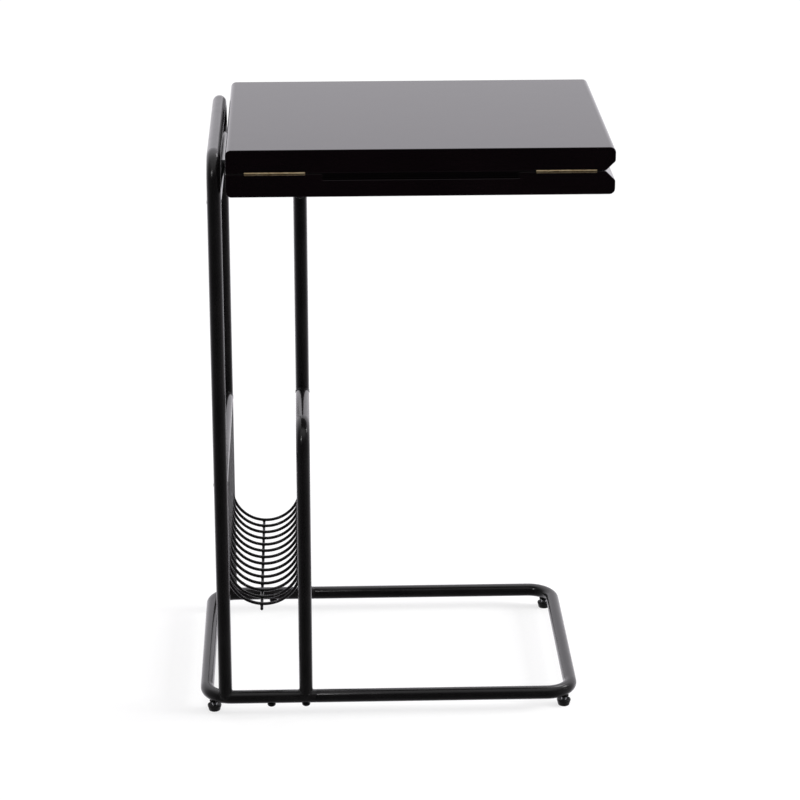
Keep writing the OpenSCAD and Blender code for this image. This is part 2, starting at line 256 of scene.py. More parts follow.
def bevel(obj, width, segments, degrees):
    """Rounds the edges that turn by more than this angle."""
    modifier = obj.modifiers.new("bevel", "BEVEL")
    modifier.width = width
    modifier.segments = segments
    modifier.limit_method = "ANGLE"
    modifier.angle_limit = math.radians(degrees)
    modifier.miter_outer = "MITER_ARC"
    apply_modifiers(obj)


def flat_faces_stay_flat(obj, degrees):
    """Smooth shading with normals that follow the large faces, so that flat panels read flat."""
    smooth_by_angle(obj, degrees)
    modifier = obj.modifiers.new("normals", "WEIGHTED_NORMAL")
    modifier.keep_sharp = True
    modifier.weight = 100
    apply_modifiers(obj)


# ---------------------------------------------------------------- materials


def set_range(node, low, high, to_low, to_high):
    """Fills in a Map Range node."""
    numbers = {"From Min": low, "From Max": high, "To Min": to_low, "To Max": to_high}
    for socket, number in numbers.items():
        node.inputs[socket].default_value = number


def set_stops(node, stops):
    """Fills in a Color Ramp node from (position, (red, green, blue)) pairs."""
    elements = node.color_ramp.elements
    while len(elements) < len(stops):
        elements.new(0.5)
    for element, (position, colour) in zip(elements, stops):
        element.position = position
        element.color = (*colour, 1)


class Nodes:
    """A small helper for building one material's node tree."""

    def __init__(self, name):
        self.material = bpy.data.materials.new(name)
        self.material.use_nodes = True
        self.tree = self.material.node_tree
        self.shader = self.tree.nodes["Principled BSDF"]
        self.coords = self.tree.nodes.new("ShaderNodeTexCoord").outputs["Object"]

    def set(self, **values):
        for name, value in values.items():
            self.shader.inputs[name.replace("_", " ")].default_value = value

    def link(self, output, socket):
        self.tree.links.new(output, self.shader.inputs[socket])

    def stretched(self, scale):
        node = self.tree.nodes.new("ShaderNodeMapping")
        node.inputs["Scale"].default_value = scale
        self.tree.links.new(self.coords, node.inputs["Vector"])
        return node.outputs["Vector"]

    def noise(self, scale, detail=3.0, rough=0.55, vector=None):
        node = self.tree.nodes.new("ShaderNodeTexNoise")
        node.inputs["Scale"].default_value = scale
        node.inputs["Detail"].default_value = detail
        node.inputs["Roughness"].default_value = rough
        self.tree.links.new(vector or self.coords, node.inputs["Vector"])
        return node.outputs["Fac"]

    def cells(self, scale):
        node = self.tree.nodes.new("ShaderNodeTexVoronoi")
        node.inputs["Scale"].default_value = scale
        self.tree.links.new(self.coords, node.inputs["Vector"])
        return node.outputs["Distance"]

    def remap(self, value, low, high, to_low, to_high):
        node = self.tree.nodes.new("ShaderNodeMapRange")
        set_range(node, low, high, to_low, to_high)
        self.tree.links.new(value, node.inputs["Value"])
        return node.outputs["Result"]

    def math(self, kind, a, b):
        node = self.tree.nodes.new("ShaderNodeMath")
        node.operation = kind
        for i, value in enumerate((a, b)):
            if isinstance(value, (int, float)):
                node.inputs[i].default_value = value
            else:
                self.tree.links.new(value, node.inputs[i])
        return node.outputs[0]

    def ramp(self, value, *stops):
        node = self.tree.nodes.new("ShaderNodeValToRGB")
        set_stops(node, stops)
        self.tree.links.new(value, node.inputs["Fac"])
        return node.outputs["Color"]

    def bump(self, height, strength, distance):
        node = self.tree.nodes.new("ShaderNodeBump")
        node.inputs["Strength"].default_value = strength
        node.inputs["Distance"].default_value = distance
        self.tree.links.new(height, node.inputs["Height"])
        self.link(node.outputs["Normal"], "Normal")


def lacquer_material():
    """Polished black lacquer: a deep black with faint wipe marks, dust nibs and orange peel."""
    n = Nodes("black_lacquer")
    cloud = n.noise(9, detail=4)
    n.link(n.ramp(cloud, (0.3, (0.0022, 0.0007, 0.0015)), (0.7, (0.0040, 0.0016, 0.0026))), "Base Color")
    wipes = n.noise(14, detail=5, rough=0.6, vector=n.stretched((0.6, 5.0, 3.0)))
    fine = n.noise(420, detail=2)
    rough = n.math("ADD", n.remap(wipes, 0.3, 0.75, 0.085, 0.125), n.remap(fine, 0.3, 0.7, 0.0, 0.02))
    n.link(rough, "Roughness")
    n.set(IOR=1.5)
    peel = n.math("ADD", n.noise(260, detail=1), n.math("MULTIPLY", n.noise(35, detail=1), 2.0))
    n.bump(peel, 0.05, 0.0004)
    return n.material


def coat_material():
    """Semi-gloss black powder coat on steel tube, with its fine pebbled skin."""
    n = Nodes("black_powder_coat")
    cloud = n.noise(30, detail=4)
    n.link(n.ramp(cloud, (0.3, (0.0052, 0.0048, 0.0050)), (0.72, (0.0086, 0.0080, 0.0082))), "Base Color")
    scuffs = n.noise(55, detail=6, rough=0.65)
    n.link(n.remap(scuffs, 0.3, 0.75, 0.16, 0.25), "Roughness")
    n.set(IOR=1.52)
    pebbles = n.math("ADD", n.noise(900, detail=1), n.math("MULTIPLY", n.noise(240, detail=1), 1.4))
    n.bump(pebbles, 0.12, 0.00025)
    return n.material


def brass_material():
    """Satin brass plate, drawn along the hinge, a little tarnished in patches."""
    n = Nodes("satin_brass")
    tarnish = n.noise(160, detail=5)
    n.link(n.ramp(tarnish, (0.3, (0.60, 0.44, 0.24)), (0.55, (0.84, 0.68, 0.42)), (0.8, (0.93, 0.80, 0.56))),
           "Base Color")
    drawn = n.noise(300, detail=3, vector=n.stretched((0.15, 3.0, 3.0)))
    n.link(n.remap(drawn, 0.3, 0.7, 0.26, 0.44), "Roughness")
    n.set(Metallic=1.0)
    n.bump(drawn, 0.15, 0.0001)
    return n.material


def zinc_material():
    """Bright zinc plate with faint crystals and handling marks."""
    n = Nodes("zinc_plate")
    crystals = n.cells(900)
    n.link(n.ramp(crystals, (0.1, (0.46, 0.47, 0.49)), (0.7, (0.66, 0.67, 0.68))), "Base Color")
    n.link(n.remap(n.noise(500, detail=4), 0.3, 0.7, 0.24, 0.42), "Roughness")
    n.set(Metallic=1.0)
    n.bump(n.noise(1400, detail=2), 0.1, 0.0001)
    return n.material


def plastic_material():
    """Moulded black plastic with a fine spark texture."""
    n = Nodes("moulded_plastic")
    cloud = n.noise(120, detail=3)
    n.link(n.ramp(cloud, (0.3, (0.0050, 0.0050, 0.0054)), (0.7, (0.0090, 0.0090, 0.0094))), "Base Color")
    n.link(n.remap(n.noise(260, detail=3), 0.3, 0.7, 0.42, 0.58), "Roughness")
    n.set(IOR=1.48)
    n.bump(n.noise(2200, detail=1), 0.25, 0.00012)
    return n.material


MATERIALS = {
    "board_lacquer": lacquer_material(),
    "frame_coat": coat_material(),
    "hinge_brass": brass_material(),
    "zinc_steel": zinc_material(),
    "black_plastic": plastic_material(),
}


BODY_OF = {"fixed": "frame", "moving": "leaf"}


def finish_piece(obj, body, slot, *nodes):
    """Gives a piece the material of its slot, lets it ride on its body, and hides the CAD nodes that it
    stands for.
    """
    obj.data.materials.clear()
    obj.data.materials.append(MATERIALS[slot])
    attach(obj, body)
    if nodes:
        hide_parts(*nodes)
    return obj


# ---------------------------------------------------------------- CAD nodes that stay


def dress_cad_nodes():
    """Gives every CAD node the procedural material of its slot."""
    for part in frame["record"]["subparts"]:
        node = frame["nodes"][part["node"]]
        material = MATERIALS[part["material_slot"]]
        if not node.data.materials:
            node.data.materials.append(material)
        for i in range(len(node.data.materials)):
            node.data.materials[i] = material


# ---------------------------------------------------------------- boards


BOARD_END_R = 6 * MM
CHAMFER_R = 3.5 * MM
CHAMFER = 10 * MM
EDGE_R = 0.9 * MM
LEAF_T = 1 * MM
LEAF_GAP = 0.15 * MM
BARREL_R = 1.9 * MM
BARREL_GAP = 0.35 * MM
MORTISE_GAP = 0.2 * MM
CUT_PAST = 5 * MM
NOTCH = Vector((205, 6, 7)) * MM


def board_outline(node, seam_up):
    """A board's end view in X and Z: round outer corners, and a soft chamfer at the seam on the right."""
    low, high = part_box(node)
    outer, seam = (low.z, high.z) if seam_up else (high.z, low.z)
    inward = CHAMFER if seam_up else -CHAMFER
    corners = [
        (Vector((low.x, outer)), BOARD_END_R),
        (Vector((high.x, outer)), BOARD_END_R),
        (Vector((high.x, seam - inward)), CHAMFER_R),
        (Vector((high.x - CHAMFER, seam)), CHAMFER_R),
        (Vector((low.x, seam)), EDGE_R),
    ]
    points = []
    for i, (corner, r) in enumerate(corners):
        before, after = corners[i - 1][0], corners[(i + 1) % len(corners)][0]
        points += arc_corner(corner, before, after, r, 8)
    return points


def board(name, node, body, seam_up):
    """A board. Its edges are rounded before the hinge cuts, which would otherwise spoil the shading."""
    low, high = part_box(node)
    bm = bmesh.new()
    rings = []
    for y in (low.y, high.y):
        rings.append([bm.verts.new((p.x, y, p.y)) for p in board_outline(node, seam_up)])
    ring_faces(bm, rings)
    bm.faces.new(rings[0])
    bm.faces.new(rings[1])
    obj = new_object(name, bm, smooth=False)
    kind = "fixed" if seam_up else "moving"
    if seam_up:
        cut(obj, finger_notch(node))
    bevel(obj, EDGE_R, 4, 50)
    cut(obj, hinge_pockets(kind))
    cut(obj, barrel_recesses(kind))
    flat_faces_stay_flat(obj, 35)
    return finish_piece(obj, body, "board_lacquer", node)


def hinge_pockets(kind):
    """The mortise for each hinge leaf."""
    bm = bmesh.new()
    for side in ("left", "right"):
        low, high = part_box(f"hinge_{side}_{kind}_leaf")
        plate = LEAF_T + LEAF_GAP
        z_far = HINGE_AXIS.z + (CUT_PAST if kind == "fixed" else -CUT_PAST)
        z_near = HINGE_AXIS.z - (plate if kind == "fixed" else -plate)
        box_mesh(bm, Vector((low.x - MORTISE_GAP, low.y - CUT_PAST, min(z_near, z_far))),
                 Vector((high.x + MORTISE_GAP, high.y + MORTISE_GAP, max(z_near, z_far))))
    return bm


def barrel_recesses(kind):
    """The round recess for each hinge barrel."""
    bm = bmesh.new()
    for side in ("left", "right"):
        low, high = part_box(f"hinge_{side}_{kind}_leaf")
        start = Vector((low.x - MORTISE_GAP, HINGE_AXIS.y, HINGE_AXIS.z))
        length = high.x - low.x + 2 * MORTISE_GAP
        r = BARREL_R + BARREL_GAP
        lathe(bm, [(0, 0), (r, 0), (r, length), (0, length)], Matrix.Translation(start) @ ALONG_X, sides=32)
    return bm


def finger_notch(node):
    """The shallow recess for fingertips in the lower board's front edge."""
    low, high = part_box(node)
    centre_x = (low.x + high.x) / 2
    bm = bmesh.new()
    box_mesh(bm, Vector((centre_x - NOTCH.x / 2, low.y - CUT_PAST, high.z - NOTCH.z)),
             Vector((centre_x + NOTCH.x / 2, low.y + NOTCH.y, high.z + CUT_PAST)))
    return bm


# ---------------------------------------------------------------- base tubes


def base_path(side_x, end_x, steps=14):
    """The centre line of one U-shaped half of the base, from its front end to its rear end."""
    turn = 1 if side_x > end_x else -1
    bend_x = side_x - turn * BEND_R
    points = [Vector((end_x, MID_Y - BAR_Y, BASE_Z))]
    for side, quarter in ((-1, 0), (1, 1)):
        centre_y = MID_Y + side * (BAR_Y - BEND_R)
        for i in range(steps + 1):
            a = math.pi / 2 * (i / steps + quarter)
            x = bend_x + turn * math.sin(a) * BEND_R
            y = centre_y - math.cos(a) * BEND_R
            points.append(Vector((x, y, BASE_Z)))
    points.append(Vector((end_x, MID_Y + BAR_Y, BASE_Z)))
    return points


def base_tube(name, node, side_x, plug=0.0):
    """Half of the base loop, with a soft edge at the seam and, on one half, a plug that fills the other."""
    soft = 0.45 * MM
    path = base_path(side_x, JOINT_X)
    into = Vector((1 if side_x > JOINT_X else -1, 0, 0))
    bore = TUBE_R - WALL
    tip = [(path[0] + into * d, outer) for d, outer in ((0, TUBE_R - soft), (soft * 0.3, TUBE_R - soft * 0.3),
                                                        (soft, TUBE_R))]
    if plug:
        shoulder = [(path[0], bore - 0.1 * MM), (path[0] - into * (plug - soft), bore - 0.1 * MM),
                    (path[0] - into * plug, bore - soft)]
        tip = shoulder[::-1] + tip
    along = [p for p, _ in tip] + path[1:-1]
    outer = [o for _, o in tip] + [TUBE_R] * len(path[1:-1])
    across = Vector((0, 2 * BAR_Y, 0))
    along += [p + across for p, _ in reversed(tip)]
    outer += [o for _, o in reversed(tip)]
    inner = [min(o - 0.4 * WALL, bore - WALL if plug and (p.x - JOINT_X) * into.x < 8 * MM else bore)
             for p, o in zip(along, outer)]
    bm = bmesh.new()
    pipe(bm, along, outer, inner)
    obj = smooth_by_angle(new_object(name, bm), 40)
    return finish_piece(obj, "frame", "frame_coat", node)


# ---------------------------------------------------------------- welds


WELD_R = 1.25 * MM
SPOT_R = 1.0 * MM
SPINE_SOFT = 0.8 * MM


def saddle_weld(bm, centre, leg, bar, seed, steps=96):
    """The painted-over weld where a leg tube meets a bar tube of the same size: a soft, rippled bead."""
    across = leg.cross(bar)
    points = []
    for k in range(steps):
        a = 2 * math.pi * k / steps
        u, v = math.cos(a), math.sin(a)
        leg_side = bar * u + across * v
        bar_side = leg * abs(u) + across * v
        openness = (leg_side - bar_side).length
        out = (leg_side + bar_side).normalized()
        on_both = centre + (bar * u + across * v + leg * abs(u)) * TUBE_R
        points.append(on_both + out * WELD_R * (0.34 * openness - 0.72))

    def radius(k):
        ripple = 0.07 * math.sin(k * 2 * math.pi / 4.8)
        drift = 0.16 * noise.noise(Vector((math.cos(k * 0.13), math.sin(k * 0.13), seed * 3.7)))
        return WELD_R * (1 + ripple + drift)
    tube_along(bm, points, radius, sides=12, closed=True)


def frame_welds():
    """All welds between tubes: each joint's place, the direction of its leg and that of its bar."""
    x, y, z = Vector((1, 0, 0)), Vector((0, 1, 0)), Vector((0, 0, 1))
    joints = []
    for side in (-1, 1):
        bar_y = MID_Y + side * BAR_Y
        joints.append((Vector((LOW_X, bar_y, BASE_Z)), z, x))
        joints.append((Vector((TALL_X, bar_y, BASE_Z)), z, x))
        for height in (middle("rack_bar").z, RAIL_Z):
            joints.append((Vector((TALL_X, bar_y, height)), y * -side, z))
        joints.append((Vector((LOW_X, MID_Y, RAIL_Z)), y * side, x))
    post = middle("post")
    joints.append((Vector((post.x, post.y, LOW_BAR_Z)), z, y))
    joints.append((Vector((post.x, post.y, RAIL_Z)), -z, y))
    joints.append((Vector((TALL_X, MID_Y, RAIL_Z)), x, y))
    bm = bmesh.new()
    for seed, (centre, leg, bar) in enumerate(joints):
        saddle_weld(bm, centre, leg, bar, seed)
    return finish_piece(new_object("frame_welds", bm), "frame", "frame_coat")


def blob(bm, centre, size, seed):
    """A small lump of weld, a little different each time."""
    made = bmesh.ops.create_uvsphere(bm, u_segments=14, v_segments=9, radius=1)
    for v in made["verts"]:
        lump = 1 + 0.18 * noise.noise(v.co * 1.3 + Vector((seed * 2.3, 0, 0)))
        v.co = centre + Vector(v.co[i] * size[i] * lump for i in range(3))


def wire_rows():
    """The rack wires' places along Y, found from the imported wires' ends and their number."""
    low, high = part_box("rack_wires")
    first, last = low.y + WIRE_R, high.y - WIRE_R
    return [first + i * (last - first) / (WIRES - 1) for i in range(WIRES)]


def rack_welds():
    """Spot welds: wires to the rack bar, wires to the low hoop's bar, and wires to the spine."""
    low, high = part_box("rack_wires")
    spine = middle("rack_spine")
    bm = bmesh.new()
    ends = ((low.x + WIRE_R, middle("rack_bar").z), (high.x - WIRE_R, LOW_BAR_Z))
    for i, y in enumerate(wire_rows()):
        for k, (x, bar_z) in enumerate(ends):
            bar_x = TALL_X if k == 0 else LOW_X
            drop = math.sqrt(max(0.0, TUBE_R ** 2 - (x - bar_x) ** 2))
            blob(bm, Vector((x, y, bar_z - drop - 0.2 * MM)), (2.5 * MM, 2.7 * MM, 1.7 * MM), i + 20 * k)
        blob(bm, Vector((spine.x, y, spine.z + WIRE_R)), (1.9 * MM, 1.9 * MM, SPOT_R), i + 60)
    return finish_piece(new_object("rack_welds", bm), "frame", "frame_coat")


def rack_spine():
    """The wire under the rack, with rounded ends."""
    low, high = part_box("rack_spine")
    place = Matrix.Translation((middle("rack_spine").x, low.y, middle("rack_spine").z)) @ ALONG_Y
    length = high.y - low.y
    profile = [(0, 0)] + dome(WIRE_R, SPINE_SOFT, 0) + [(WIRE_R, length / 2)]
    profile += dome(WIRE_R, SPINE_SOFT, length)[::-1] + [(0, length)]
    bm = bmesh.new()
    lathe(bm, profile, place, sides=24)
    obj = smooth_by_angle(new_object("rack_spine_wire", bm), 40)
    return finish_piece(obj, "frame", "frame_coat", "rack_spine")


def dome(r, soft, end, steps=4):
    """A rounded edge of a lathe profile at height end: from the flat face out to the side."""
    up = 1 if end == 0 else -1
    points = []
    for i in range(steps + 1):
        a = math.pi / 2 * i / steps
        points.append((r - soft + soft * math.sin(a), end + up * soft * (1 - math.cos(a))))
    return points


# ---------------------------------------------------------------- feet, caps and bolts


PITCH = 1.0 * MM
THREAD_CORE = 0.84
GRIP_RIBS = 20
GRIP_DEPTH = 0.22 * MM


def in_mm(*pairs):
    """A lathe profile given in millimetres."""
    return [(r * MM, z * MM) for r, z in pairs]


# The foot pad's profile. Radii are parts of its radius. Heights are metres in the tread, and parts of the
# pad's height above it.
PAD_TREAD = ((0.66, 0), (0.66, 0.35 * MM), (0.74, 0.35 * MM), (0.78, 0), (0.80, 0.1 * MM), (0.83, 0.6 * MM))
PAD_SIDE = ((0.90, 0.42), (0.965, 0.66), (0.995, 0.78), (1, 0.84), (0.985, 0.92), (0.94, 0.98), (0.88, 1),
            (0.56, 1), (0.52, 0.93), (0, 0.93))
CAP_CROWN = ((1, 0.35), (0.985, 0.6), (0.94, 0.83), (0.86, 0.96), (0.75, 1))
NUT_FLANGE = in_mm((3.05, 0), (5.0, 0), (5.35, 0.12), (5.5, 0.4), (5.5, 1), (4.4, 1))
BUTTON_HEAD = in_mm((0, 0), (2.5, 0), (3.1, 0.12), (3.8, 0.6), (4.4, 1.2), (4.66, 1.75), (4.7, 2.2),
                    (4.7, 3.9), (2.5, 3.9))
HEX_SOCKET = in_mm((0, -1), (1.75, -1), (1.75, 2), (0, 2.6))
COUNTERSUNK = in_mm((0, -11.9), (0.4, -11.8), (1.45, -9), (1.5, -3), (1.8, -1.3), (2.86, -0.27), (2.86, -0.2),
                    (2.7, -0.15), (1.4, -0.12), (0, -0.12))
PAN_HEAD = in_mm((0, 0), (2.2, 0.1), (3.1, 0.35), (3.7, 0.9), (3.95, 1.6), (4.0, 2.6), (2.0, 2.6))


def thread(core, crest, z0, z1, steps=8):
    """A real helical thread as a lathe profile and its wobble: rings at fine steps, crests that climb."""
    rings = int((z1 - z0) / PITCH * steps)
    profile = [(0, z0), (core * 0.82, z0)]
    profile += [(core, z0 + 0.5 * MM + (z1 - z0 - 1.0 * MM) * i / rings) for i in range(rings + 1)]
    profile += [(core * 0.82, z1), (0, z1)]

    def wobble(r, z, a):
        if r < core:
            return 0.0
        wave = abs(((z / PITCH - a / (2 * math.pi)) % 1.0) * 2 - 1)
        fade = min(1.0, (z - z0) / PITCH, (z1 - z) / PITCH)
        return (crest - core) * min(1.0, max(0.0, wave * 1.5 - 0.2)) * max(0.0, fade)
    return profile, wobble


def grip(_radius, z, turn, height):
    """The shallow ribs round the middle of a foot pad."""
    inside = 0.42 * height < z < 0.9 * height
    return -GRIP_DEPTH * max(0.0, math.sin(turn * GRIP_RIBS)) if inside else 0.0


def foot(corner):
    """A foot's tapered pad and its threaded stud."""
    low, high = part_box(f"foot_pad_{corner}")
    centre = middle(f"foot_pad_{corner}")
    r = (high.x - low.x) / 2
    height = high.z - low.z
    place = Matrix.Translation((centre.x, centre.y, low.z))
    pad = [(0, 0)] + [(r * part, z) for part, z in PAD_TREAD]
    pad += [(r * part, height * rise) for part, rise in PAD_SIDE]
    bm = bmesh.new()
    lathe(bm, pad, place, sides=120, wobble=lambda rr, z, a: grip(rr, z, a, height))
    obj = smooth_by_angle(new_object(f"pad_{corner}", bm), 50)
    finish_piece(obj, f"foot_{corner}", "black_plastic", f"foot_pad_{corner}")

    stud_low, stud_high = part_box(f"foot_stud_{corner}")
    crest = (stud_high.x - stud_low.x) / 2
    profile, wobble = thread(crest * THREAD_CORE, crest, stud_low.z - low.z, stud_high.z - low.z)
    bm = bmesh.new()
    lathe(bm, profile, place, sides=36, wobble=wobble)
    finish_piece(new_object(f"stud_{corner}", bm), f"foot_{corner}", "zinc_steel", f"foot_stud_{corner}")


def foot_nuts():
    """The flanges and bodies of the rivet nuts, softly edged."""
    low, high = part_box("foot_nuts")
    bm = bmesh.new()
    for corner in FEET:
        centre = middle(f"foot_pad_{corner}")
        place = Matrix.Translation((centre.x, centre.y, low.z))
        height = high.z - low.z
        profile = NUT_FLANGE + [(4.4 * MM, height), (3.05 * MM, height)]
        turned_ring(bm, profile, place)
    obj = smooth_by_angle(new_object("rivet_nuts", bm), 45)
    return finish_piece(obj, "frame", "frame_coat", "foot_nuts")


def turned_ring(bm, profile, place, sides=48):
    """A solid of revolution with a hole: the profile is a closed loop that stays off the axis."""
    rings = []
    for r, z in profile:
        turns = (2 * math.pi * i / sides for i in range(sides))
        rings.append([bm.verts.new(place @ Vector((r * math.cos(a), r * math.sin(a), z))) for a in turns])
    ring_faces(bm, rings, close_rings=True)


def end_caps():
    """Plastic caps on the free ends of the long rail and of both arms."""
    rail, front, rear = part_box("long_rail"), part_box("arm_front"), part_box("arm_rear")
    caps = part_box("rail_end_caps")
    ends = [(Vector((rail[1].x, MID_Y, RAIL_Z)), ALONG_X),
            (Vector((LOW_X, front[0].y, RAIL_Z)), ALONG_Y @ Matrix.Rotation(math.pi, 4, "X")),
            (Vector((LOW_X, rear[1].y, RAIL_Z)), ALONG_Y)]
    head = caps[1].x - rail[1].x
    bm = bmesh.new()
    for place, turn in ends:
        plug_r = TUBE_R - WALL
        profile = [(0, -8 * MM), (plug_r - 0.5 * MM, -8 * MM), (plug_r, -7 * MM), (plug_r, 0)]
        profile += [(TUBE_R - 0.1 * MM, 0), (TUBE_R, 0.15 * MM)]
        profile += [(TUBE_R * part, head * rise) for part, rise in CAP_CROWN] + [(0, head)]
        lathe(bm, profile, Matrix.Translation(place) @ turn, sides=56)
    obj = smooth_by_angle(new_object("tube_end_caps", bm), 50)
    return finish_piece(obj, "frame", "black_plastic", "rail_end_caps")


def base_bolts():
    """Button-head screws under the base, each with a hex socket."""
    low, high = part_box("base_bolts")
    head_r = 4.7 * MM
    places = [(x, MID_Y + side * BAR_Y) for x in (LOW_X, low.x + head_r) for side in (-1, 1)]
    bm = bmesh.new()
    for x, y in places:
        profile = BUTTON_HEAD + [(2.5 * MM, high.z - low.z), (0, high.z - low.z)]
        lathe(bm, profile, Matrix.Translation((x, y, low.z)), sides=48)
    obj = new_object("base_bolt_set", bm)
    sockets = bmesh.new()
    for x, y in places:
        lathe(sockets, HEX_SOCKET, Matrix.Translation((x, y, low.z)), sides=6)
    cut(obj, sockets)
    smooth_by_angle(obj, 35)
    return finish_piece(obj, "frame", "frame_coat", "base_bolts")


# ---------------------------------------------------------------- hinges and screws


def recess_bar(bm, place, width, depth, arm=0.28):
    """One bar of a cross recess's cutter. It narrows towards the bottom."""
    made = bmesh.ops.create_cube(bm, size=1)
    for v in made["verts"]:
        narrow = 0.35 if v.co.z < 0 else 1.0
        shape = Vector((v.co.x * width * narrow, v.co.y * width * arm * (0.7 if v.co.z < 0 else 1.0),
                        v.co.z * 2 * depth))
        v.co = place @ shape


def cut_crosses(obj, places, width, depth):
    """Cuts a cross recess at each place, one bar at a time, so that no cutter crosses itself."""
    for turn in (0, math.pi / 2):
        bars = bmesh.new()
        for place in places:
            recess_bar(bars, place @ Matrix.Rotation(turn, 4, "Z"), width, depth)
        cut(obj, bars)


def screw_places(kind):
    """The hinge screws' places on the seam, with the turn that puts local Z out of the leaf's face."""
    turn = Matrix.Identity(4) if kind == "fixed" else Matrix.Rotation(math.pi, 4, "X")
    places = []
    for side in ("left", "right"):
        low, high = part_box(f"hinge_{side}_fixed_leaf")
        for i in (-1, 0, 1):
            x = (low.x + high.x) / 2 + i * SCREW_PITCH
            spot = Vector((x, HINGE_AXIS.y + SCREW_SET_BACK, HINGE_AXIS.z))
            places.append(Matrix.Translation(spot) @ turn)
    return places


def hinge_leaf(side, kind, first):
    """A brass leaf with its knuckles: rounded corners, softened knuckle ends and countersunk holes."""
    node = f"hinge_{side}_{kind}_leaf"
    low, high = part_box(node)
    up = -1 if kind == "fixed" else 1
    top = HINGE_AXIS.z + up * LEAF_GAP
    bottom = top + up * LEAF_T
    knuckle = (high.x - low.x) / KNUCKLES
    bm = bmesh.new()
    box_mesh(bm, Vector((low.x, HINGE_AXIS.y, min(top, bottom))), Vector((high.x, high.y, max(top, bottom))))
    obj = new_object(f"leaf_{side}_{kind}", bm, smooth=False)
    holes = bmesh.new()
    for i in range(1 - first, KNUCKLES, 2):
        gap_low = Vector((low.x + i * knuckle - KNUCKLE_GAP, HINGE_AXIS.y - BARREL_R, HINGE_AXIS.z - 4 * MM))
        gap_high = Vector((low.x + (i + 1) * knuckle + KNUCKLE_GAP, HINGE_AXIS.y + BARREL_R + BARREL_GAP,
                           HINGE_AXIS.z + 4 * MM))
        box_mesh(holes, gap_low, gap_high)
    for place in screw_places(kind):
        if low.x < place.translation.x < high.x:
            sink = in_mm((0, -2), (1.2, -2)) + [(2.0 * MM, -LEAF_T - LEAF_GAP)]
            sink += [(3.05 * MM, -LEAF_GAP + 0.05 * MM)] + in_mm((3.05, 1), (0, 1))
            lathe(holes, sink, place, sides=32)
    cut(obj, holes)
    bevel(obj, 0.12 * MM, 2, 50)
    barrels = bmesh.new()
    barrels.from_mesh(obj.data)
    for i in range(first, KNUCKLES, 2):
        start = Vector((low.x + i * knuckle + KNUCKLE_GAP, HINGE_AXIS.y, HINGE_AXIS.z))
        length = knuckle - 2 * KNUCKLE_GAP
        soft = 0.4 * MM
        bore = BARREL_R - 0.85 * MM
        profile = [(bore, 0.05 * MM), (bore + 0.1 * MM, 0)] + dome(BARREL_R, soft, 0)
        profile += dome(BARREL_R, soft, length)[::-1]
        profile += [(bore + 0.1 * MM, length), (bore, length - 0.05 * MM)]
        turned_ring(barrels, profile, Matrix.Translation(start) @ ALONG_X, sides=40)
    bmesh.ops.recalc_face_normals(barrels, faces=barrels.faces)
    barrels.to_mesh(obj.data)
    barrels.free()
    flat_faces_stay_flat(obj, 40)
    return finish_piece(obj, BODY_OF[kind], "hinge_brass", node)


def hinge_pin(side):
    """A brass pin with a slightly domed head at each end."""
    node = f"hinge_{side}_pin"
    low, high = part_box(node)
    r = (high.z - low.z) / 2
    length = high.x - low.x
    bm = bmesh.new()
    profile = [(0, 0)] + dome(r, 0.4 * MM, 0) + dome(r, 0.4 * MM, length)[::-1] + [(0, length)]
    lathe(bm, profile, Matrix.Translation((low.x, HINGE_AXIS.y, HINGE_AXIS.z)) @ ALONG_X, sides=28)
    obj = smooth_by_angle(new_object(f"pin_{side}", bm), 50)
    return finish_piece(obj, "frame", "hinge_brass", node)


def hinge_screws(kind):
    """Countersunk screws with cross recesses, flush in the leaves."""
    bm, crosses = bmesh.new(), []
    for i, place in enumerate(screw_places(kind)):
        lathe(bm, COUNTERSUNK, place, sides=40)
        crosses.append(place @ Matrix.Rotation(0.5 + 1.1 * i, 4, "Z"))
    obj = new_object(f"leaf_screws_{kind}", bm)
    cut_crosses(obj, crosses, 3.0 * MM, 0.9 * MM)
    smooth_by_angle(obj, 30)
    return finish_piece(obj, BODY_OF[kind], "hinge_brass", f"hinge_screws_{kind}")


def board_screws():
    """Pan-head screws under the rails, with cross recesses."""
    low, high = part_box("board_screws")
    front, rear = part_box("arm_front"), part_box("arm_rear")
    reach = (rear[1].y - front[0].y) / 2 - SCREW_END_GAP
    rail_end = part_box("long_rail")[1].x
    first, last = (TALL_X + LOW_X) / 2, rail_end - SCREW_END_GAP
    spots = [(first + i * (last - first) / 2, MID_Y) for i in range(3)]
    spots += [(LOW_X, MID_Y + side * reach) for side in (-1, 1)]
    bm, crosses = bmesh.new(), []
    for i, (x, y) in enumerate(spots):
        place = Matrix.Translation((x, y, low.z))
        shank = [(2.0 * MM, high.z - low.z - 2 * MM), (0, high.z - low.z)]
        lathe(bm, PAN_HEAD + shank, place, sides=40)
        crosses.append(place @ Matrix.Rotation(math.pi, 4, "X") @ Matrix.Rotation(0.7 * i, 4, "Z"))
    obj = new_object("board_screw_set", bm)
    cut_crosses(obj, crosses, 3.6 * MM, 1.2 * MM)
    smooth_by_angle(obj, 30)
    return finish_piece(obj, "frame", "zinc_steel", "board_screws")


# ---------------------------------------------------------------- stage, light and camera


FLOOR_GREY = 0.3
FLOOR_GLOW = 0.70
FLOOR_R = 2.6
FLOOR_FADE = (1.1, 2.4)
STUDIO_STRENGTH = 1.1
SEEN_STRENGTH = 1.05
STUDIO_STOPS = ((0.0, 0.018), (0.25, 0.060), (0.46, 0.19), (0.60, 0.30), (0.72, 0.75), (0.80, 1.0),
                (1.0, 1.0))
STUDIO_TINT = (1, 0.975, 1.03)
# From how steeply a direction points up, to the light that is added there.
CEILING = (0.55, 0.95, 0.0, 0.42)
LENS = 125.5
CAMERA_PLACE = (-0.100, -2.953, 1.385)
CAMERA_DOWN = 19.87
CAMERA_RIGHT = 2.02


